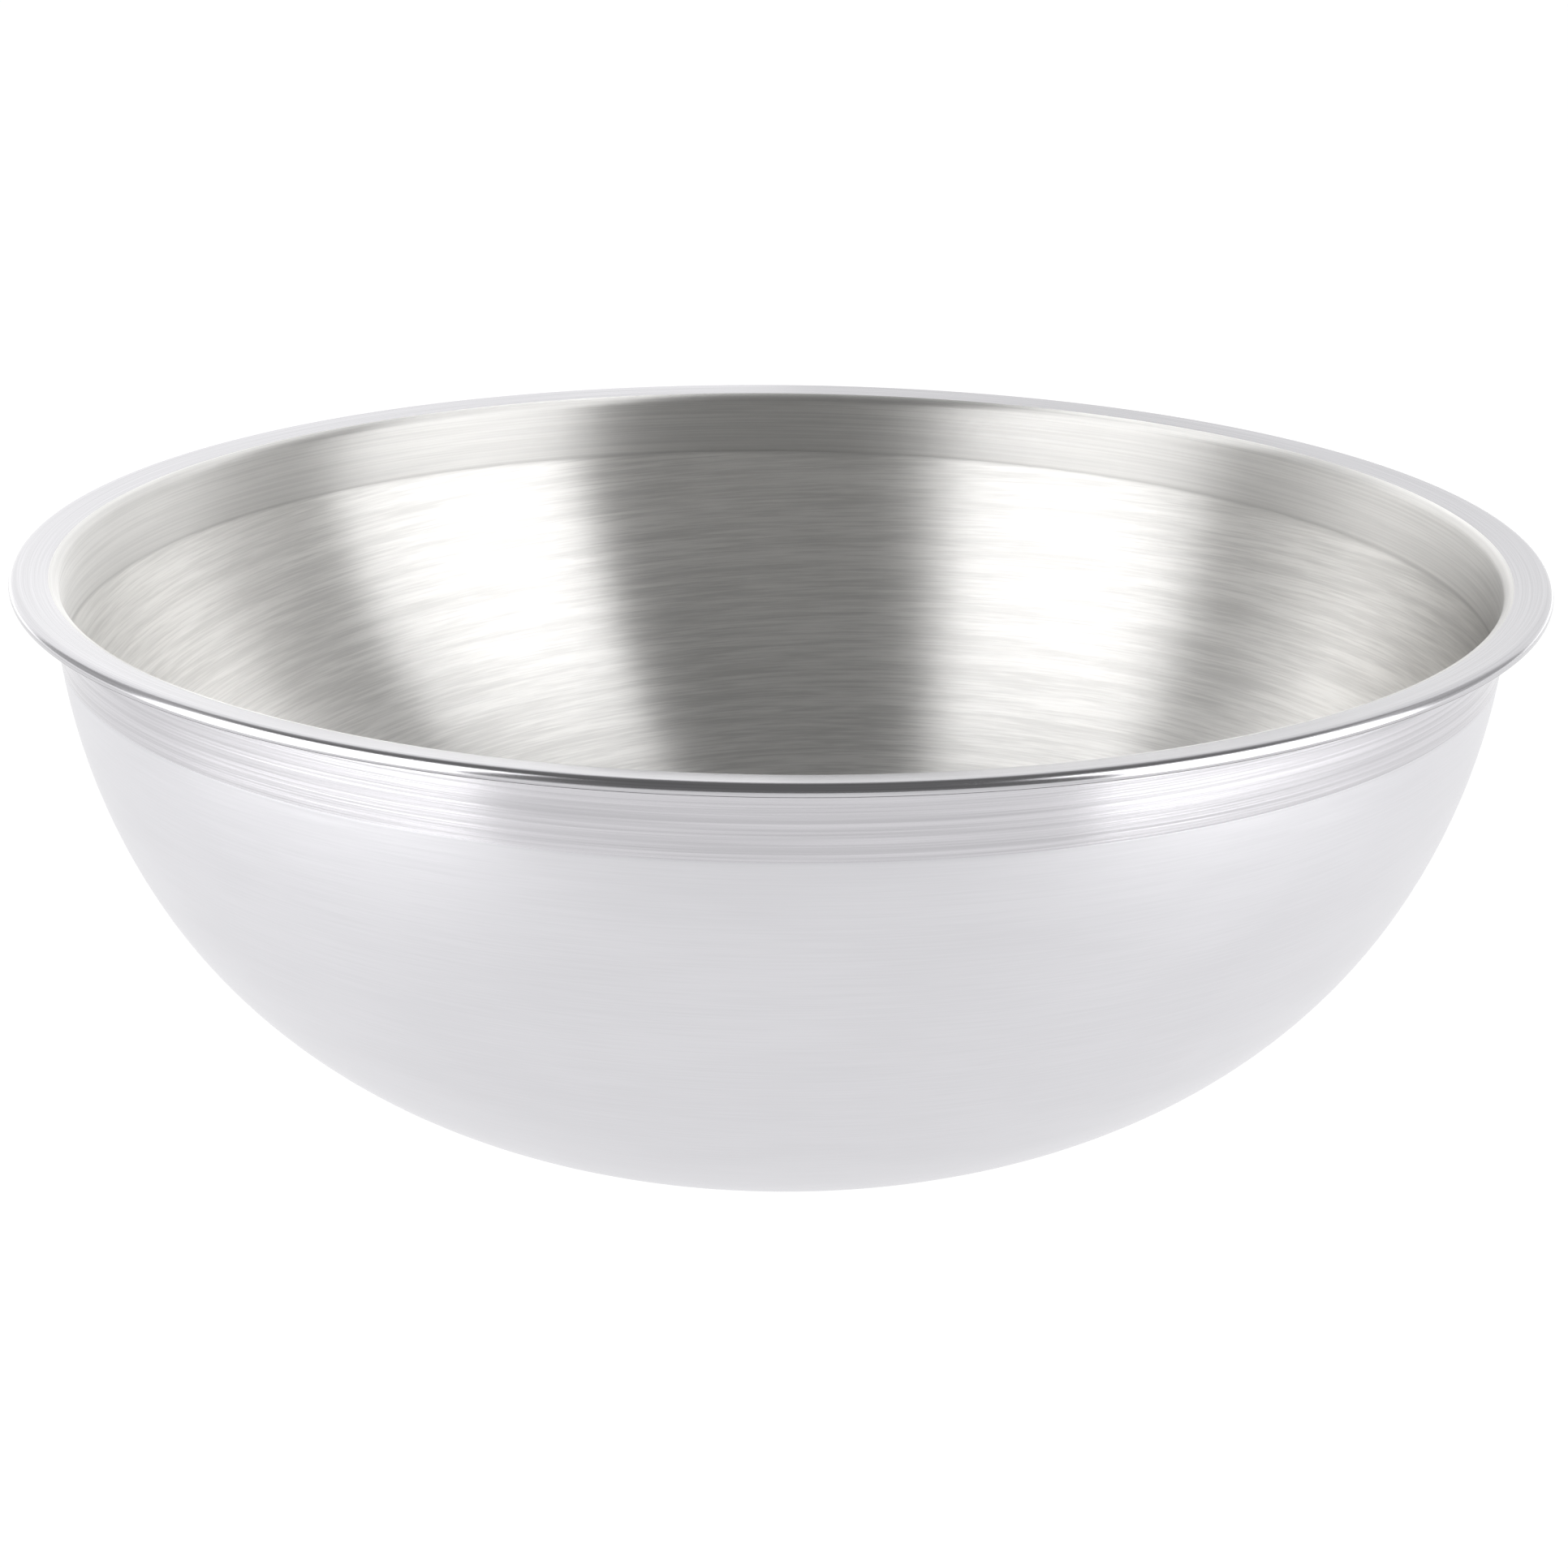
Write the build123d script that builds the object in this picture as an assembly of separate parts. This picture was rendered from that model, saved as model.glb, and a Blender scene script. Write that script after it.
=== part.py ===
from build123d import *
import os
from math import cos, radians, sin

# A mixing bowl pressed from one round blank of stainless sheet, its edge rolled outwards.
# All lengths are in millimetres and all angles in degrees.
# The origin is the middle of the flat base, with the axis of the bowl along +Z.

# Overall sizes
rim_diameter = 400.0    # over the rolled edge
bowl_height = 151.5     # from the flat base to the top of the rolled edge
sheet = 1.0             # thickness of the steel, the same all over

# Rolled rim
bead_radius = 2.0       # outside radius of the rolled edge
bead_tuck = 14.0        # how far the cut edge turns in below the middle of the roll
flange_rise = 9.5       # slope of the flange, climbing towards the rolled edge
rim_overhang = 11.0     # from the outside of the wall to the outside of the roll
neck_radius = 1.8       # bend under the flange, on the outside of the bowl

# Straight band under the rim, ending in a faint crease
band_depth = 20.7       # from the top of the rim to the crease
crease_turn = 5.0       # how far the wall leans in below the crease
crease_radius = 6.0

# Rounded body
shoulder_radius = 158.0   # upper wall, from the crease down
shoulder_end = 63.5       # slope of the wall where the tighter lower curve takes over

# The straight stretches and the lower curve follow from the sizes above.
wall_radius = rim_diameter / 2 - rim_overhang
bead_inner = bead_radius - sheet
rise = radians(flange_rise)
lean = radians(90 - crease_turn)
turn_over = radians(shoulder_end)

flange_run = rim_overhang - bead_radius - neck_radius + (neck_radius - bead_inner) * sin(rise)
flange_length = flange_run / cos(rise)
flange_climb = flange_length * sin(rise)
neck_start = bowl_height - bead_radius - flange_climb - (neck_radius - bead_inner) * cos(rise)

crease_height = bowl_height - band_depth
shoulder_top = crease_height - crease_radius * cos(lean)
shoulder_bottom = shoulder_top - shoulder_radius * (cos(turn_over) - cos(lean))
lower_radius = shoulder_bottom / (1 - cos(turn_over))

base_radius = wall_radius - lower_radius * sin(turn_over)
base_radius -= shoulder_radius * (sin(lean) - sin(turn_over))
base_radius -= crease_radius * (1 - sin(lean))


def ahead(point, heading, distance):
    """The point a distance away from another, heading measured from outwards to up."""
    angle = radians(heading)
    return point[0] + distance * cos(angle), point[1] + distance * sin(angle)


class Strip:
    """The cut through a bent sheet, laid from the axis outwards, every piece tangent to the last.

    The outside of the bowl is on the right of the strip and the inside on its left.
    """

    def __init__(self, start, thickness):
        self.outside = start
        self.heading = 0.0
        self.thickness = thickness
        self.edges = [self.across()]

    def left_of(self, point):
        return ahead(point, self.heading + 90, self.thickness)

    def across(self):
        return Line(self.outside, self.left_of(self.outside))

    def straight(self, length):
        end = ahead(self.outside, self.heading, length)
        self.edges.append(Line(self.outside, end))
        self.edges.append(Line(self.left_of(self.outside), self.left_of(end)))
        self.outside = end

    def bend(self, radius, turn):
        """Bend with this radius on the outside of the bowl, turning left when turn is positive."""
        side = 1 if turn > 0 else -1
        centre = ahead(self.outside, self.heading + side * 90, radius)
        start = self.heading - side * 90
        for reach in (radius, radius - side * self.thickness):
            self.edges.append(
                ThreePointArc(*(ahead(centre, start + turn * part, reach) for part in (0, 0.5, 1)))
            )
        self.outside = ahead(centre, start + turn, radius)
        self.heading += turn

    def face(self):
        return make_face(self.edges + [self.across()])


def make_bowl():
    """The whole bowl in one piece, as it is pressed, with its edge rolled from the same sheet."""
    strip = Strip((0.0, 0.0), sheet)
    strip.straight(base_radius)
    strip.bend(lower_radius, shoulder_end)
    strip.bend(shoulder_radius, 90 - crease_turn - shoulder_end)
    strip.bend(crease_radius, crease_turn)
    strip.straight(neck_start - crease_height)
    strip.bend(neck_radius, flange_rise - 90)
    strip.straight(flange_length)
    strip.bend(bead_inner, -(flange_rise + 90 + bead_tuck))
    return revolve(Plane.XZ * strip.face(), Axis.Z)


os.makedirs("parts", exist_ok=True)
bowl = make_bowl()
bowl.label = "bowl"
export_step(bowl, "parts/bowl.step")
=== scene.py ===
from math import cos, pi, radians, sin, tan

import bmesh
import bpy
from bpy.props import FloatProperty, FloatVectorProperty, IntProperty, PointerProperty
from mathutils import Matrix, Vector


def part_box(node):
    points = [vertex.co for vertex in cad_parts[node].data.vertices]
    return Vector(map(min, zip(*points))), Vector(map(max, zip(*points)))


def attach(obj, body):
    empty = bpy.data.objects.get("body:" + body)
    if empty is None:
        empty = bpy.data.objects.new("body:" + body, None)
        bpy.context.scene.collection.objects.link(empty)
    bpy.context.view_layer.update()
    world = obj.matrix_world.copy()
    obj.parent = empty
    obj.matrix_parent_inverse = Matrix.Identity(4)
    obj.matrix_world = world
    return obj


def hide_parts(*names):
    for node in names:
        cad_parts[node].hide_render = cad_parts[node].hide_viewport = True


bl_info = {
    "name": "Steel Mixing Bowl",
    "version": (1, 0, 0),
    "blender": (4, 5, 0),
    "location": "3D View > Sidebar > Mixing Bowl",
    "description": "A pressed steel mixing bowl with a rolled rim, on a pale studio floor",
    "category": "Object",
}

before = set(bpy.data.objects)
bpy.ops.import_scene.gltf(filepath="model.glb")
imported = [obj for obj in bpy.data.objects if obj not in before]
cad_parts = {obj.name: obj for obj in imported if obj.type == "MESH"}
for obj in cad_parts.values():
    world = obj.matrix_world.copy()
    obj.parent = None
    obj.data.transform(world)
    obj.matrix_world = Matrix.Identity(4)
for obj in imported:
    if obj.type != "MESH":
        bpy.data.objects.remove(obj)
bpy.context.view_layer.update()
BOWL_LOW, BOWL_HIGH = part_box("bowl")

# Zones of steel that each stretch of the sheet has on its outside and on its inside
OUTER_ZONES = {"body": "outside", "band": "band", "neck": "rim", "rim": "rim"}
INNER_ZONES = {"body": "inside", "band": "inner_band", "neck": "inner_band", "rim": "rim"}
CORNER_STEPS = 4            # in the rounding of each corner of the cut edge
SAME_POINT = 1e-6           # points of the shell closer than this are one

# Polishing patterns: lengths are in metres
PATTERN_RADIUS = 0.19       # where a stroke has its true length
HALVES_MEET = 0.3           # the two halves of a pattern fade together over this share of the radius
NOISE_ROUGHNESS = 0.6
CREASE_SHADE_REACH = 0.0012        # reach of the painted shade line on each side of the crease
LEVEL_GRAIN = 0.25          # turn of the grain that draws highlights out straight up and down

# The studio, in metres: half of what stands on the right, which the left mirrors
FLOOR_REACH = 12.0
SOFTBOX_GAPS = {"right": 0.48, "left": 0.435}   # from the middle to the near end of each softbox
SOFTBOX_FRONT = -0.57
SOFTBOX_TOP = 1.0
TENT_MOUTH = Vector((1.22, 0.0, 0.0))           # where each softbox meets the side of the tent
TENT_CORNER = Vector((1.55, 1.0, 0.0))
TENT_TOP = 1.4
ROOF_MIDDLE = 0.7
ROOF_DEPTH = 0.6
MOUTH_BELOW_TOP = 0.0019    # the middle of the mouth that the camera is placed by
SENSOR_WIDTH = 36.0         # in millimetres


# ---------------------------------------------------------------- settings


class BowlShape(bpy.types.PropertyGroup):
    """Sizes of the section that is turned into the bowl."""

    rim_diameter: FloatProperty(
        name="Rim diameter",
        description="Width of the bowl over its rolled edge",
        default=BOWL_HIGH.x - BOWL_LOW.x,
        unit="LENGTH",
    )
    height: FloatProperty(
        name="Height",
        description="From the flat base to the top of the rolled edge",
        default=BOWL_HIGH.z - BOWL_LOW.z,
        unit="LENGTH",
    )
    sheet: FloatProperty(
        name="Sheet",
        description="Thickness of the steel",
        default=0.001,
        unit="LENGTH",
    )
    cut_edge_round: FloatProperty(
        name="Cut edge round",
        description="Radius of the two corners of the sheet's cut edge",
        default=0.0003,
        unit="LENGTH",
    )
    bead_radius: FloatProperty(
        name="Bead radius",
        description="Outside radius of the rolled edge",
        default=0.002,
        unit="LENGTH",
    )
    bead_tuck: FloatProperty(
        name="Bead tuck",
        description="How far the cut edge turns in below the middle of the roll",
        default=radians(14),
        subtype="ANGLE",
    )
    flange_rise: FloatProperty(
        name="Flange rise",
        description="Slope of the flange, climbing towards the rolled edge",
        default=radians(9.5),
        subtype="ANGLE",
    )
    rim_overhang: FloatProperty(
        name="Rim overhang",
        description="From the outside of the wall to the outside of the roll",
        default=0.011,
        unit="LENGTH",
    )
    neck_radius: FloatProperty(
        name="Neck radius",
        description="Bend under the flange, on the outside of the bowl",
        default=0.0018,
        unit="LENGTH",
    )
    band_depth: FloatProperty(
        name="Band depth",
        description="From the top of the rim to the crease under the straight band",
        default=0.0207,
        unit="LENGTH",
    )
    crease_turn: FloatProperty(
        name="Crease turn",
        description="How far the wall leans in below the crease",
        default=radians(5),
        subtype="ANGLE",
    )
    crease_radius: FloatProperty(
        name="Crease radius",
        description="Bend at the crease",
        default=0.006,
        unit="LENGTH",
    )
    shoulder_radius: FloatProperty(
        name="Shoulder radius",
        description="Curve of the upper wall below the crease",
        default=0.158,
        unit="LENGTH",
    )
    shoulder_end: FloatProperty(
        name="Shoulder end",
        description="Slope of the wall where the tighter lower curve takes over",
        default=radians(63.5),
        subtype="ANGLE",
    )
    turns: IntProperty(
        name="Turns",
        description="Steps round the bowl",
        default=256,
        min=64,
        max=480,
    )


class BowlFinish(bpy.types.PropertyGroup):
    """Colours and polish of the steel."""

    outside_colour: FloatVectorProperty(
        name="Outside colour",
        description="Steel of the body's outside",
        default=(0.665, 0.66, 0.684),
        subtype="COLOR",
        min=0.0,
        max=1.0,
    )
    outside_roughness: FloatProperty(
        name="Outside roughness",
        description="Roughness of the fine satin finish outside",
        default=0.34,
        min=0.0,
        max=1.0,
    )
    outside_grain: FloatProperty(
        name="Outside grain",
        description="How far the polishing draws highlights out across its lines",
        default=0.5,
        min=0.0,
        max=1.0,
    )
    band_colour: FloatVectorProperty(
        name="Band colour",
        description="Steel of the straight band under the rim",
        default=(0.61, 0.60, 0.625),
        subtype="COLOR",
        min=0.0,
        max=1.0,
    )
    band_roughness: FloatProperty(
        name="Band roughness",
        description="Roughness of the band that is polished on the lathe",
        default=0.24,
        min=0.0,
        max=1.0,
    )
    band_grain: FloatProperty(
        name="Band grain",
        description="How far the polishing draws highlights out across its lines",
        default=0.6,
        min=0.0,
        max=1.0,
    )
    rim_colour: FloatVectorProperty(
        name="Rim colour",
        description="Steel of the flange and the rolled edge",
        default=(0.56, 0.555, 0.575),
        subtype="COLOR",
        min=0.0,
        max=1.0,
    )
    rim_roughness: FloatProperty(
        name="Rim roughness",
        description="Roughness of the polished rim",
        default=0.2,
        min=0.0,
        max=1.0,
    )
    rim_grain: FloatProperty(
        name="Rim grain",
        description="How far the polishing draws highlights out across its lines",
        default=0.5,
        min=0.0,
        max=1.0,
    )
    # Painted light: partly the brushed steel's own tone, partly brightened past it to stand in for
    # the light the inside catches.
    inside_colour_and_light: FloatVectorProperty(
        name="Inside colour",
        description="Steel of the inside",
        default=(0.92, 0.912, 0.895),
        subtype="COLOR",
        min=0.0,
        max=1.0,
    )
    inside_roughness: FloatProperty(
        name="Inside roughness",
        description="Roughness of the brushed inside",
        default=0.40,
        min=0.0,
        max=1.0,
    )
    inside_grain: FloatProperty(
        name="Inside grain",
        description="How far the brushing draws highlights out across its strokes",
        default=1.0,
        min=0.0,
        max=1.0,
    )
    inner_band_lean: FloatProperty(
        name="Inner band lean",
        description="How far the brushing inside the straight band turns its highlights up",
        default=radians(10.0),
        subtype="ANGLE",
    )
    inner_band_roughness: FloatProperty(
        name="Inner band roughness",
        description="Roughness inside the straight band, which is brushed level",
        default=0.50,
        min=0.0,
        max=1.0,
    )
    brushing_tilt: FloatProperty(
        name="Brushing tilt",
        description="How far the strokes inside climb out of level",
        default=radians(3.0),
        subtype="ANGLE",
    )
    highlight_lean: FloatProperty(
        name="Highlight lean",
        description="How far the highlights inside lean out of upright",
        default=radians(6.5),
        subtype="ANGLE",
    )


class StudioSettings(bpy.types.PropertyGroup):
    """Camera, floor and lamps."""

    camera_distance: FloatProperty(
        name="Camera distance",
        description="From the camera to the middle of the mouth of the bowl",
        default=0.70,
        unit="LENGTH",
    )
    camera_elevation: FloatProperty(
        name="Camera elevation",
        description="How high the camera stands above the mouth of the bowl",
        default=radians(14.55),
        subtype="ANGLE",
    )
    camera_drop: FloatProperty(
        name="Camera drop",
        description="How far below the mouth the camera looks",
        default=0.0705,
        unit="LENGTH",
    )
    camera_aim: FloatProperty(
        name="Camera aim",
        description="How far to the right of the bowl's axis the camera looks",
        default=0.0012,
        unit="LENGTH",
    )
    camera_roll: FloatProperty(
        name="Camera roll",
        description="Tilt of the camera about its own axis",
        default=radians(0.56),
        subtype="ANGLE",
    )
    lens: FloatProperty(
        name="Lens",
        description="Focal length for a sensor 36 mm wide",
        default=59.55,
        unit="CAMERA",
    )
    floor_colour: FloatVectorProperty(
        name="Floor colour",
        description="Pale floor under the bowl",
        default=(0.05, 0.05, 0.05),
        subtype="COLOR",
        min=0.0,
        max=1.0,
    )
    floor_glow: FloatProperty(
        name="Floor glow",
        description="Light that the translucent floor gives off by itself",
        default=1.0,
        min=0.0,
    )
    lamp_glow: FloatProperty(
        name="Lamp glow",
        description="Brightness of the face of each front softbox",
        default=3.1,
        min=0.0,
    )
    tent_glow: FloatProperty(
        name="Tent glow",
        description="Brightness of the right half of the tent's wall behind the bowl",
        default=0.92,
        min=0.0,
    )
    tent_left_glow: FloatProperty(
        name="Tent glow on the left",
        description="Brightness of the left half of the tent's wall behind the bowl",
        default=1.15,
        min=0.0,
    )
    top_glow: FloatProperty(
        name="Top glow",
        description="Brightness of the roof of the tent",
        default=0.2,
        min=0.0,
    )
    side_glow: FloatProperty(
        name="Side glow",
        description="Brightness of the tent's sides",
        default=0.36,
        min=0.0,
    )
    room_glow: FloatProperty(
        name="Room glow",
        description="Brightness of the dim room that the steel mirrors",
        default=0.18,
        min=0.0,
    )


# ---------------------------------------------------------------- shader writing


class Value:
    """One number of a shader, so that sums on it are written as expressions."""

    def __init__(self, shader, socket):
        self.shader = shader
        self.socket = socket

    def _sum(self, operation, *terms):
        settings = {"operation": operation}
        inputs = dict(enumerate(terms))
        return self.shader.number("ShaderNodeMath", settings, inputs)

    def __add__(self, other):
        return self._sum("ADD", self, other)

    __radd__ = __add__

    def __sub__(self, other):
        return self._sum("SUBTRACT", self, other)

    def __mul__(self, other):
        return self._sum("MULTIPLY", self, other)

    __rmul__ = __mul__

    def __truediv__(self, other):
        return self._sum("DIVIDE", self, other)


class Shader:
    """The nodes of one material, or of the world."""

    def __init__(self, tree):
        self.tree = tree
        tree.nodes.clear()

    def node(self, kind, settings=None, inputs=None):
        """Any node: its settings first, then the numbers or links of its sockets."""
        made = self.tree.nodes.new(kind)
        for name, setting in (settings or {}).items():
            setattr(made, name, setting)
        for name, given in (inputs or {}).items():
            socket = made.inputs[name]
            source = given.socket if isinstance(given, Value) else given
            if isinstance(source, bpy.types.NodeSocket):
                self.tree.links.new(source, socket)
            else:
                socket.default_value = source
        return made

    def number(self, kind, settings=None, inputs=None, output=0):
        """A node's output as a number to reckon with."""
        return Value(self, self.node(kind, settings, inputs).outputs[output])

    def between(self, value, low, high, at_low=0.0, at_high=1.0):
        """The value carried smoothly from one range to another, and held at both ends."""
        settings = {"interpolation_type": "SMOOTHSTEP"}
        inputs = {"Value": value, "From Min": low, "From Max": high}
        inputs.update({"To Min": at_low, "To Max": at_high})
        return self.number("ShaderNodeMapRange", settings, inputs)

    def mixed(self, factor, first, second):
        """A colour between two others."""
        node = self.node("ShaderNodeMix", {"data_type": "RGBA"}, {"Factor": factor})
        first_colour, second_colour = node.inputs[6:8]
        for socket, given in ((first_colour, first), (second_colour, second)):
            if isinstance(given, bpy.types.NodeSocket):
                self.tree.links.new(given, socket)
            else:
                socket.default_value = (*given, 1.0)
        return node.outputs[2]


class SteelShader(Shader):
    """Shader of one zone of the bowl, with patterns that run round it."""

    def __init__(self, material, zone_ends):
        super().__init__(material.node_tree)
        self.zone_ends = zone_ends
        place = self.node("ShaderNodeTexCoord").outputs["Object"]
        flat = self.vector("MULTIPLY", place, (1.0, 1.0, 0.0))
        parts = self.node("ShaderNodeSeparateXYZ", None, {0: self.vector("NORMALIZE", flat)}).outputs
        self.across, self.depth = Value(self, parts[0]), Value(self, parts[1])
        layer = {"attribute_type": "GEOMETRY", "attribute_name": "along"}
        self.along = self.number("ShaderNodeAttribute", layer, output="Fac")

    def vector(self, operation, *terms):
        settings = {"operation": operation}
        return self.node("ShaderNodeVectorMath", settings, dict(enumerate(terms))).outputs[0]

    def strokes(self, length, width, tilt=0.0, detail=2.0, shift=0.0):
        """Noise drawn out round the bowl, from 0 to 1, in strokes of a length and a width.

        A pattern has a seam where the angle round the bowl jumps, so two patterns whose seams lie
        on opposite sides fade into each other. The shift moves both, so no two pairs are alike.
        """
        found = []
        for side in (-1.0, 1.0):
            lap = self.lap(side) * PATTERN_RADIUS
            inputs = {
                0: (lap + shift) / length,
                1: (self.along + lap * tan(tilt) + shift) / width,
            }
            inputs = {
                "Vector": self.node("ShaderNodeCombineXYZ", None, inputs).outputs[0],
                "Scale": 1.0,
                "Detail": detail,
                "Roughness": NOISE_ROUGHNESS,
            }
            noise = {"noise_dimensions": "2D"}
            found.append(self.number("ShaderNodeTexNoise", noise, inputs, "Fac"))
        front, back = found
        share = self.between(self.depth, -HALVES_MEET, HALVES_MEET)
        return front + (back - front) * share

    def lap(self, side):
        """The angle round the bowl, from -pi to pi.

        It jumps at the back for a side of -1 and at the front for a side of 1.
        """
        settings = {"operation": "ARCTAN2"}
        return self.number("ShaderNodeMath", settings, {0: self.across * -side, 1: self.depth * side})

    def at_end_of(self, zone, reach):
        """One on the line where a zone ends, fading to nothing on both sides of it."""
        inputs = {0: self.along - self.zone_ends[zone]}
        off = self.number("ShaderNodeMath", {"operation": "ABSOLUTE"}, inputs)
        return self.between(off, 0.0, reach, 1.0, 0.0)

    def lined(self, pattern, low, high, colour, dark, pale):
        """A steel's colour, darker where a pattern is below a range and paler where it is above."""
        tone = self.between(pattern, low, high)
        return self.mixed(tone, shade(colour, dark), shade(colour, pale))

    def bump(self, height, depth, normal=None):
        inputs = {"Height": height, "Distance": depth, "Strength": 1.0}
        if normal is not None:
            inputs["Normal"] = normal
        return self.node("ShaderNodeBump", None, inputs).outputs[0]

    def steel(self, colour, roughness, normal, grain, lean=0.0):
        """Polished steel, its highlights drawn out across lines that run round the bowl.

        The lean turns the highlights out of upright.
        """
        inputs = {
            "Base Color": colour,
            "Metallic": 1.0,
            "Roughness": roughness,
            "Normal": normal,
            "Anisotropic": grain,
            "Anisotropic Rotation": LEVEL_GRAIN + lean / (2 * pi),
        }
        surface = self.node("ShaderNodeBsdfPrincipled", None, inputs).outputs[0]
        self.node("ShaderNodeOutputMaterial", None, {"Surface": surface})


def shade(colour, factor):
    return tuple(min(1.0, part * factor) for part in colour)


def new_steel(name, zone_ends):
    material = bpy.data.materials.new(name)
    material.use_nodes = True
    return material, SteelShader(material, zone_ends)


def outside_steel(finish, zone_ends):
    """Fine satin, with hairlines round the body."""
    material, shader = new_steel("steel_outside", zone_ends)
    hairs = shader.strokes(length=0.030, width=0.0005)
    clouds = shader.strokes(length=0.060, width=0.018, shift=7.0)
    steel = finish.outside_colour
    colour = shader.lined(hairs * 0.6 + clouds * 0.4, 0.25, 0.75, steel, dark=0.965, pale=1.025)
    # Painted shade: a darker line along the crease at the foot of the band.
    crease = shader.at_end_of("outside", CREASE_SHADE_REACH) * 0.5
    colour = shader.mixed(crease, colour, shade(steel, 0.88))
    roughness = finish.outside_roughness - 0.04 + hairs * 0.08
    normal = shader.bump(hairs, depth=0.00001)
    shader.steel(colour, roughness, normal, finish.outside_grain)
    return material


def band_steel(finish, zone_ends):
    """Coarse polishing lines that run round the straight band."""
    material, shader = new_steel("steel_band", zone_ends)
    lines = shader.strokes(length=0.300, width=0.0011, detail=3.0)
    groups = shader.strokes(length=0.150, width=0.0045, shift=3.0)
    fine = shader.strokes(length=0.060, width=0.0004, shift=11.0)
    pattern = lines * 0.5 + fine * 0.25 + groups * 0.25
    colour = shader.lined(pattern, 0.36, 0.64, finish.band_colour, dark=0.84, pale=1.05)
    roughness = finish.band_roughness - 0.05 + groups * 0.10
    normal = shader.bump(fine, depth=0.000015, normal=shader.bump(lines, depth=0.00005))
    shader.steel(colour, roughness, normal, finish.band_grain)
    return material


def rim_steel(finish, zone_ends):
    """The flange and the rolled edge, polished brighter than the rest."""
    material, shader = new_steel("steel_rim", zone_ends)
    lines = shader.strokes(length=0.100, width=0.0004, detail=3.0)
    colour = shader.lined(lines, 0.3, 0.7, finish.rim_colour, dark=0.90, pale=1.04)
    roughness = finish.rim_roughness - 0.03 + lines * 0.06
    normal = shader.bump(lines, depth=0.000012)
    shader.steel(colour, roughness, normal, finish.rim_grain)
    return material


def cut_edge_steel_and_shade(finish, zone_ends):
    """The sheared edge of the sheet, dull and a little burred, and painted dark as shade in the gap
    under the rolled edge.
    """
    material, shader = new_steel("steel_cut_edge_and_shade", zone_ends)
    burrs = shader.strokes(length=0.0012, width=0.0008)
    steel = finish.rim_colour
    # Partly the dull sheared steel, partly painted shade: far darker than the rim's steel.
    colour = shader.mixed(burrs, shade(steel, 0.20), shade(steel, 0.50))
    roughness = burrs * 0.2 + 0.45
    shader.steel(colour, roughness, shader.bump(burrs, depth=0.00006), grain=0.0)
    return material


def inner_band_steel(finish, zone_ends):
    """The inside of the straight band, brushed level with fine lines, with painted shade that darkens
    it towards the crease.
    """
    material, shader = new_steel("steel_inner_band", zone_ends)
    lines = shader.strokes(length=0.110, width=0.0007, detail=3.0)
    soft = shader.strokes(length=0.060, width=0.0030, shift=5.0)
    steel = finish.inside_colour_and_light
    colour = shader.lined(lines * 0.7 + soft * 0.3, 0.34, 0.66, steel, dark=0.93, pale=1.08)
    crease = zone_ends["inner_band"]
    # Painted shade: the band grows darker towards the crease.
    shade_towards_crease = shader.between(shader.along, crease - 0.014, crease - 0.001)
    colour = shader.mixed(shade_towards_crease * 0.3, colour, shade(steel, 0.84))
    # Painted shade: a darker line along the crease.
    colour = shader.mixed(
        shader.at_end_of("inner_band", CREASE_SHADE_REACH) * 0.6, colour, shade(steel, 0.66)
    )
    roughness = finish.inner_band_roughness - 0.04 + lines * 0.08
    normal = shader.bump(lines, depth=0.00002)
    # A slope of the height along the section leans the whole zone a little.
    normal = shader.bump(shader.along, tan(finish.inner_band_lean), normal)
    shader.steel(colour, roughness, normal, finish.inside_grain, finish.highlight_lean)
    return material


def inside_steel(finish, zone_ends):
    """Brushed inside, with short strokes a little out of level."""
    material, shader = new_steel("steel_inside", zone_ends)
    tilt = -finish.brushing_tilt
    strokes = shader.strokes(0.035, 0.0009, tilt, detail=3.0)
    soft = shader.strokes(0.070, 0.0040, tilt, shift=3.0)
    fine = shader.strokes(0.016, 0.0004, tilt, shift=0.5)
    pattern = strokes * 0.4 + soft * 0.35 + fine * 0.25
    steel = finish.inside_colour_and_light
    colour = shader.lined(pattern, 0.36, 0.64, steel, dark=0.84, pale=1.06)
    # Painted shade: a darker line along the crease at the top of the inside.
    colour = shader.mixed(
        shader.at_end_of("inner_band", CREASE_SHADE_REACH) * 0.6, colour, shade(steel, 0.66)
    )
    roughness = finish.inside_roughness - 0.05 + strokes * 0.10
    normal = shader.bump(fine, depth=0.000008, normal=shader.bump(strokes, depth=0.00002))
    shader.steel(colour, roughness, normal, finish.inside_grain, finish.highlight_lean)
    return material


# ---------------------------------------------------------------- the bowl


class Section:
    """Half a section through the bowl, a wire of edges that grows at its end.

    Headings are measured from outwards to up. Each point holds its distance along the wire.
    """

    def __init__(self, start):
        self.mesh = bmesh.new()
        self.along = self.mesh.verts.layers.float.new("along")
        self.end = bmesh.ops.create_vert(self.mesh, co=start)["vert"][0]
        self.heading = 0.0
        self.length = 0.0

    def direction(self, turn=0.0):
        angle = self.heading + turn
        return Vector((cos(angle), 0.0, sin(angle)))

    def grow(self):
        """A new point on top of the end, joined to it by an edge."""
        return bmesh.ops.extrude_vert_indiv(self.mesh, verts=[self.end])["verts"][0]

    def settle(self, point):
        self.length += (point.co - self.end.co).length
        point[self.along] = self.length
        self.end = point

    def straight(self, length, steps=2):
        for _ in range(steps):
            point = self.grow()
            bmesh.ops.translate(self.mesh, verts=[point], vec=self.direction() * length / steps)
            self.settle(point)

    def bend(self, radius, turn, steps):
        """A round bend, to the left when turn is positive."""
        side = 1 if turn > 0 else -1
        centre = self.end.co + self.direction(side * pi / 2) * radius
        step = Matrix.Rotation(turn / steps, 3, (0, -1, 0))
        for _ in range(steps):
            point = self.grow()
            bmesh.ops.rotate(self.mesh, verts=[point], cent=centre, matrix=step)
            self.settle(point)
        self.heading += turn


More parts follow.
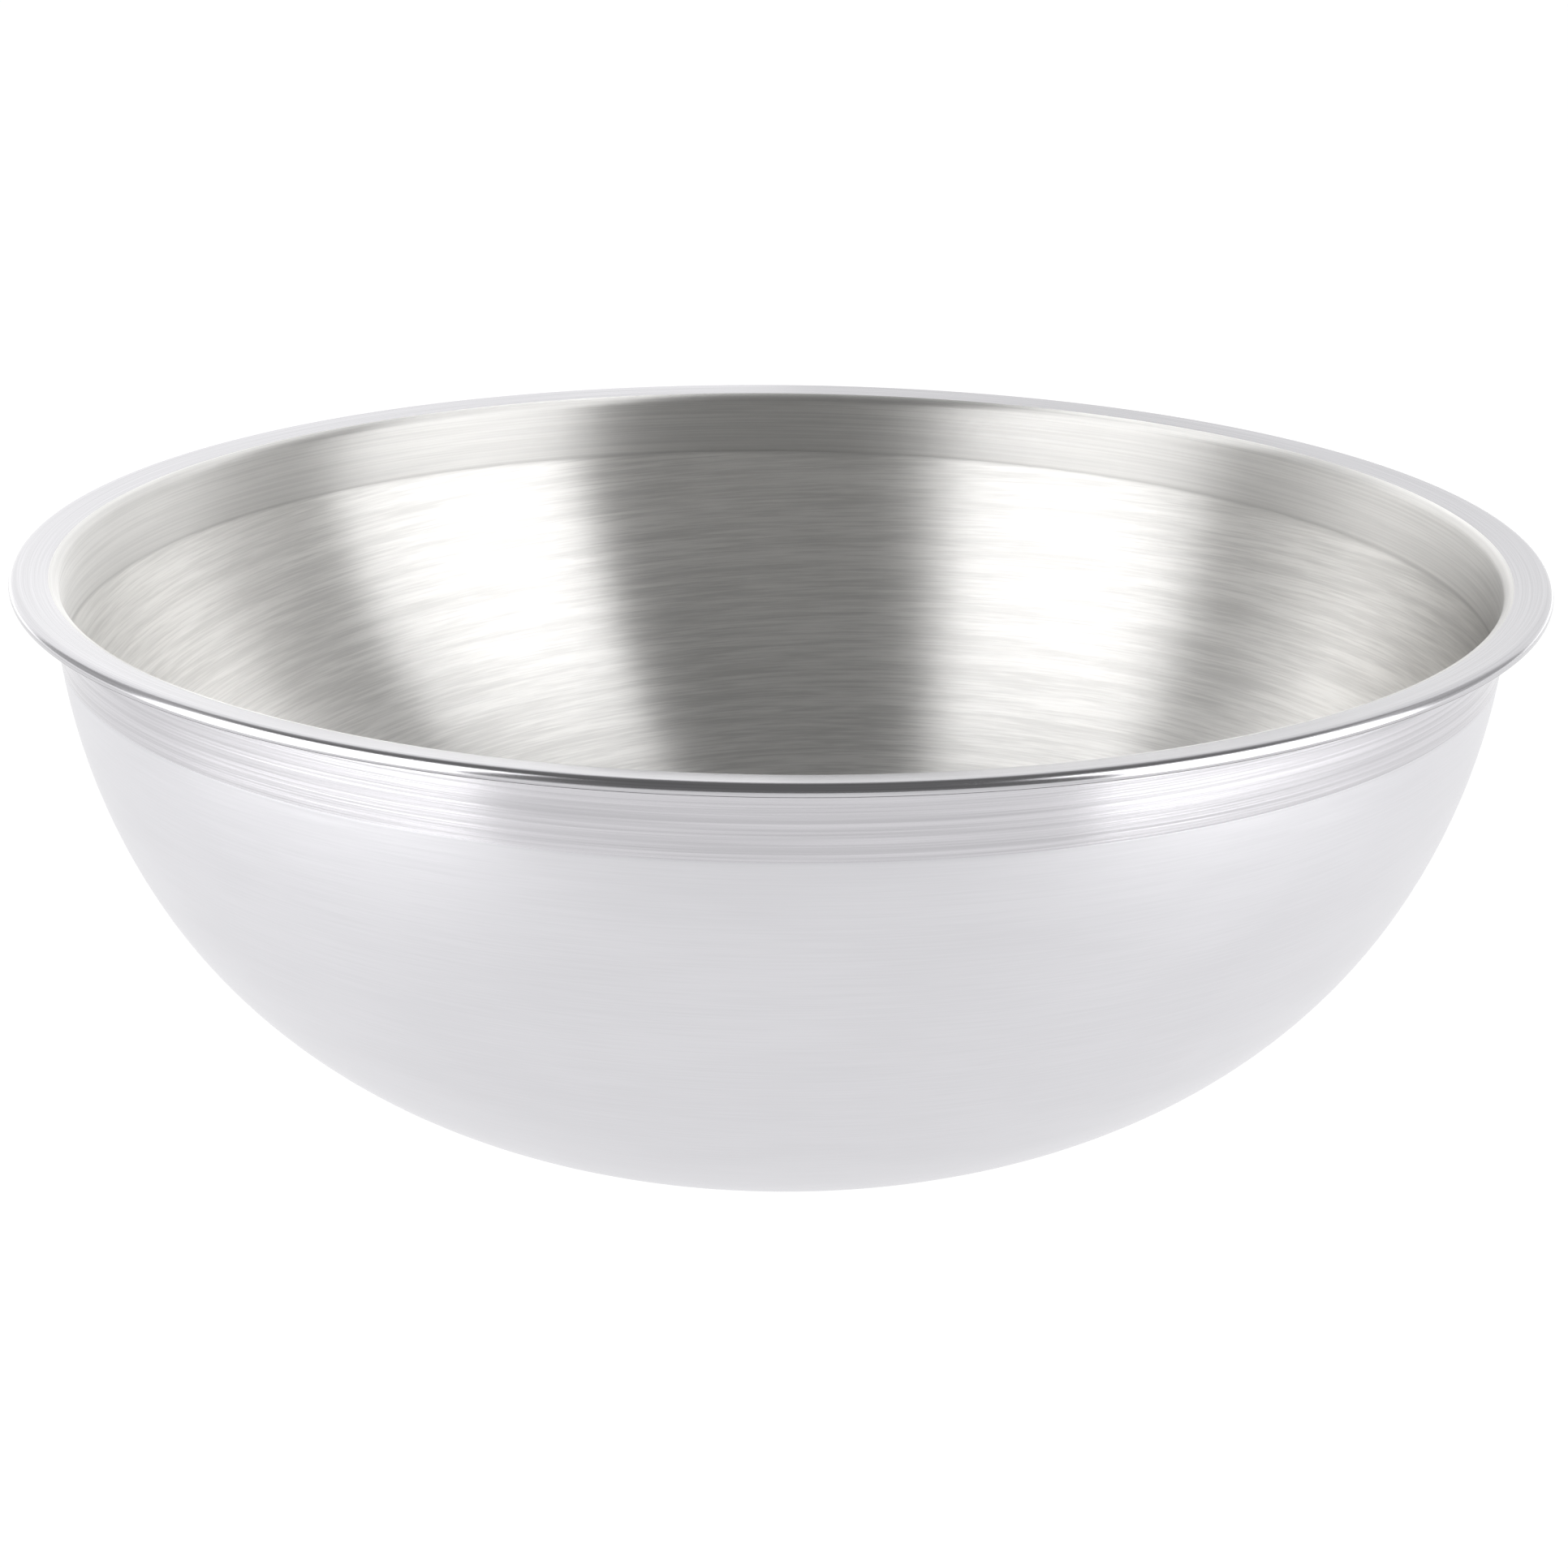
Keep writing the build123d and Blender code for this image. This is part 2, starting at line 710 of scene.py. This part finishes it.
def section_pieces(shape):
    """The sheet from the middle of the base to the cut edge, as stretches with four values each.

    They are its name, its outside radius, or none where it is straight, its turn or its length,
    and its steps.
    """
    wall_radius = shape.rim_diameter / 2 - shape.rim_overhang
    bead_inner = shape.bead_radius - shape.sheet
    rise, lean = shape.flange_rise, pi / 2 - shape.crease_turn

    flange_run = shape.rim_overhang - shape.bead_radius - shape.neck_radius
    flange_run += (shape.neck_radius - bead_inner) * sin(rise)
    flange_length = flange_run / cos(rise)
    neck_start = shape.height - shape.bead_radius - flange_length * sin(rise)
    neck_start -= (shape.neck_radius - bead_inner) * cos(rise)

    crease_height = shape.height - shape.band_depth
    shoulder_bottom = crease_height - shape.crease_radius * cos(lean)
    shoulder_bottom -= shape.shoulder_radius * (cos(shape.shoulder_end) - cos(lean))
    lower_radius = shoulder_bottom / (1 - cos(shape.shoulder_end))

    base_radius = wall_radius - lower_radius * sin(shape.shoulder_end)
    base_radius -= shape.shoulder_radius * (sin(lean) - sin(shape.shoulder_end))
    base_radius -= shape.crease_radius * (1 - sin(lean))

    return (
        ("body", 0.0, base_radius, 12),
        ("body", lower_radius, shape.shoulder_end, 30),
        ("body", shape.shoulder_radius, lean - shape.shoulder_end, 12),
        ("body", shape.crease_radius, shape.crease_turn, 4),
        ("band", 0.0, neck_start - crease_height, 3),
        ("neck", shape.neck_radius, rise - pi / 2, 12),
        ("rim", 0.0, flange_length, 2),
        ("rim", bead_inner, -(rise + pi / 2 + shape.bead_tuck), 24),
    )


def draw_section(shape):
    """The closed half section, out along the outside of the bowl and back along its inside.

    It also gives how far along the wire each zone of the surface ends.
    """
    section = Section((0.0, 0.0, 0.0))
    pieces = section_pieces(shape)
    zone_ends = []
    for name, radius, amount, steps in pieces:
        if radius:
            section.bend(radius, amount, steps)
        else:
            section.straight(amount, steps)
        zone_ends.append((OUTER_ZONES[name], section.length))

    section.bend(shape.cut_edge_round, pi / 2, CORNER_STEPS)
    section.straight(shape.sheet - 2 * shape.cut_edge_round)
    section.bend(shape.cut_edge_round, pi / 2, CORNER_STEPS)
    zone_ends.append(("cut_edge", section.length))

    for name, radius, amount, steps in reversed(pieces):
        if radius:
            inner = radius - shape.sheet if amount > 0 else radius + shape.sheet
            section.bend(inner, -amount, steps)
        else:
            section.straight(amount, steps)
        zone_ends.append((INNER_ZONES[name], section.length))
    return section, zone_ends


def turn_section(section, turns):
    """The section turned about its axis into a closed shell."""
    mesh = section.mesh
    bmesh.ops.spin(
        mesh,
        geom=mesh.verts[:] + mesh.edges[:],
        cent=(0, 0, 0),
        axis=(0, 0, 1),
        angle=2 * pi,
        steps=turns,
        use_merge=True,
    )
    bmesh.ops.remove_doubles(mesh, verts=mesh.verts, dist=SAME_POINT)
    bmesh.ops.recalc_face_normals(mesh, faces=mesh.faces)
    return mesh


def paint_zones(mesh, along, zone_ends, slots):
    """Gives each face the material slot of the zone that it lies in."""
    for face in mesh.faces:
        middle = sum(corner[along] for corner in face.verts) / len(face.verts)
        zone = next((name for name, end in zone_ends if middle < end), zone_ends[-1][0])
        face.material_index = slots.index(zone)
        face.smooth = True


class OBJECT_OT_pressed_bowl(bpy.types.Operator):
    """Turn the bowl from one section of sheet and give it its steel"""

    bl_idname = "object.pressed_bowl"
    bl_label = "Pressed Bowl"
    bl_options = {"REGISTER", "UNDO"}

    def execute(self, context):
        shape, finish = context.scene.bowl_shape, context.scene.bowl_finish
        section, zone_ends = draw_section(shape)
        mesh = turn_section(section, shape.turns)
        if any(not edge.is_manifold for edge in mesh.edges):
            raise RuntimeError("the shell of the bowl is not closed")
        finishes = {
            "outside": outside_steel,
            "band": band_steel,
            "rim": rim_steel,
            "cut_edge": cut_edge_steel_and_shade,
            "inner_band": inner_band_steel,
            "inside": inside_steel,
        }
        paint_zones(mesh, section.along, zone_ends, list(finishes))

        data = bpy.data.meshes.new("pressed_bowl")
        mesh.to_mesh(data)
        mesh.free()
        for make_steel in finishes.values():
            data.materials.append(make_steel(finish, dict(zone_ends)))
        bowl = bpy.data.objects.new("pressed_bowl", data)
        context.collection.objects.link(bowl)
        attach(bowl, "root")
        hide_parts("bowl")
        return {"FINISHED"}


# ---------------------------------------------------------------- the studio


def make_floor(studio):
    """A wide pale floor that gives off a little light of its own."""
    mesh = bmesh.new()
    bmesh.ops.create_grid(mesh, x_segments=1, y_segments=1, size=FLOOR_REACH)
    data = bpy.data.meshes.new("floor")
    mesh.to_mesh(data)
    mesh.free()
    floor = bpy.data.objects.new("floor", data)
    bpy.context.collection.objects.link(floor)

    material = bpy.data.materials.new("pale_floor")
    material.use_nodes = True
    shader = Shader(material.node_tree)
    inputs = {
        "Base Color": (*studio.floor_colour, 1.0),
        "Roughness": 0.9,
        "Specular IOR Level": 0.1,
        "Emission Color": (1.0, 1.0, 1.0, 1.0),
        "Emission Strength": studio.floor_glow,
    }
    surface = shader.node("ShaderNodeBsdfPrincipled", None, inputs).outputs[0]
    shader.node("ShaderNodeOutputMaterial", None, {"Surface": surface})
    data.materials.append(material)


def make_lamp(name, middle, facing, width, height, glow):
    """A soft rectangular lamp with an even face that the camera itself doesn't see."""
    light = bpy.data.lights.new(name, "AREA")
    light.shape = "RECTANGLE"
    light.size, light.size_y = width, height
    light.energy = pi * glow * width * height
    lamp = bpy.data.objects.new(name, light)
    lamp.location = middle
    lamp.rotation_euler = Vector(facing).to_track_quat("-Z", "Y").to_euler()
    lamp.visible_camera = False
    bpy.context.collection.objects.link(lamp)
    return lamp


def make_lamps(studio):
    """A softbox on each side of the camera, and a light tent with sides, a back and a roof."""
    tent_width = 2 * TENT_CORNER.x
    for side, hand, back_glow in (
        (1, "right", studio.tent_glow),
        (-1, "left", studio.tent_left_glow),
    ):
        softbox_start = Vector((SOFTBOX_GAPS[hand], SOFTBOX_FRONT, 0))
        for name, start, end, height, glow in (
            ("softbox_", softbox_start, TENT_MOUTH, SOFTBOX_TOP, studio.lamp_glow),
            ("tent_side_", TENT_MOUTH, TENT_CORNER, TENT_TOP, studio.side_glow),
        ):
            middle, run = (start + end) / 2, end - start
            place = (side * middle.x, middle.y, height / 2)
            facing = (side * -run.y, run.x, 0.0)
            make_lamp(name + hand, place, facing, run.length, height, glow)
        place = (side * TENT_CORNER.x / 2, TENT_CORNER.y, TENT_TOP / 2)
        make_lamp("tent_back_" + hand, place, (0, -1, 0), tent_width / 2, TENT_TOP, back_glow)
    place = (0.0, ROOF_MIDDLE, TENT_TOP)
    make_lamp("tent_top", place, (0, 0, -1), tent_width, ROOF_DEPTH, studio.top_glow)


def make_room(studio):
    """A pale background for the camera and a dim room for the steel to mirror."""
    world = bpy.data.worlds.new("room")
    world.use_nodes = True
    shader = Shader(world.node_tree)
    seen = shader.node("ShaderNodeLightPath").outputs["Is Camera Ray"]
    room, pale = (
        shader.node("ShaderNodeBackground", None, {0: (1.0, 1.0, 1.0, 1.0), 1: glow})
        for glow in (studio.room_glow, 1.0)
    )
    inputs = {0: seen, 1: room.outputs[0], 2: pale.outputs[0]}
    surface = shader.node("ShaderNodeMixShader", None, inputs).outputs[0]
    shader.node("ShaderNodeOutputWorld", None, {"Surface": surface})
    bpy.context.scene.world = world


def make_camera(studio):
    """A camera in front of the bowl, looking down into it."""
    mouth = Vector((0.0, 0.0, BOWL_HIGH.z - MOUTH_BELOW_TOP))
    lift = studio.camera_elevation
    place = mouth + Vector((0.0, -cos(lift), sin(lift))) * studio.camera_distance
    target = mouth + Vector((studio.camera_aim, 0.0, -studio.camera_drop))
    data = bpy.data.cameras.new("camera")
    data.sensor_width = SENSOR_WIDTH
    data.lens = studio.lens
    camera = bpy.data.objects.new("camera", data)
    look = (target - place).to_track_quat("-Z", "Y").to_matrix()
    turn = Matrix.Rotation(studio.camera_roll, 3, "Z")
    camera.matrix_world = Matrix.Translation(place) @ (look @ turn).to_4x4()
    bpy.context.collection.objects.link(camera)
    bpy.context.scene.camera = camera


class OBJECT_OT_bowl_studio(bpy.types.Operator):
    """Lay the pale floor, set up the soft lamps and place the camera"""

    bl_idname = "object.bowl_studio"
    bl_label = "Bowl Studio"
    bl_options = {"REGISTER", "UNDO"}

    def execute(self, context):
        studio = context.scene.bowl_studio
        make_floor(studio)
        make_lamps(studio)
        make_room(studio)
        make_camera(studio)
        context.scene.view_settings.view_transform = "Standard"
        return {"FINISHED"}


class VIEW3D_PT_mixing_bowl(bpy.types.Panel):
    """Sizes, finish and studio of the mixing bowl"""

    bl_idname = "VIEW3D_PT_mixing_bowl"
    bl_label = "Mixing Bowl"
    bl_space_type = "VIEW_3D"
    bl_region_type = "UI"
    bl_category = "Mixing Bowl"

    def draw(self, context):
        for operator, settings in (
            (OBJECT_OT_pressed_bowl, (context.scene.bowl_shape, context.scene.bowl_finish)),
            (OBJECT_OT_bowl_studio, (context.scene.bowl_studio,)),
        ):
            box = self.layout.box()
            box.operator(operator.bl_idname)
            for group in settings:
                for name in group.__annotations__:
                    box.prop(group, name)


CLASSES = (
    BowlShape,
    BowlFinish,
    StudioSettings,
    OBJECT_OT_pressed_bowl,
    OBJECT_OT_bowl_studio,
    VIEW3D_PT_mixing_bowl,
)


def register():
    for made in CLASSES:
        bpy.utils.register_class(made)
    bpy.types.Scene.bowl_shape = PointerProperty(type=BowlShape)
    bpy.types.Scene.bowl_finish = PointerProperty(type=BowlFinish)
    bpy.types.Scene.bowl_studio = PointerProperty(type=StudioSettings)


def unregister():
    del bpy.types.Scene.bowl_studio
    del bpy.types.Scene.bowl_finish
    del bpy.types.Scene.bowl_shape
    for made in reversed(CLASSES):
        bpy.utils.unregister_class(made)


def main():
    register()
    bpy.ops.object.pressed_bowl()
    bpy.ops.object.bowl_studio()


if __name__ == "__main__":
    main()
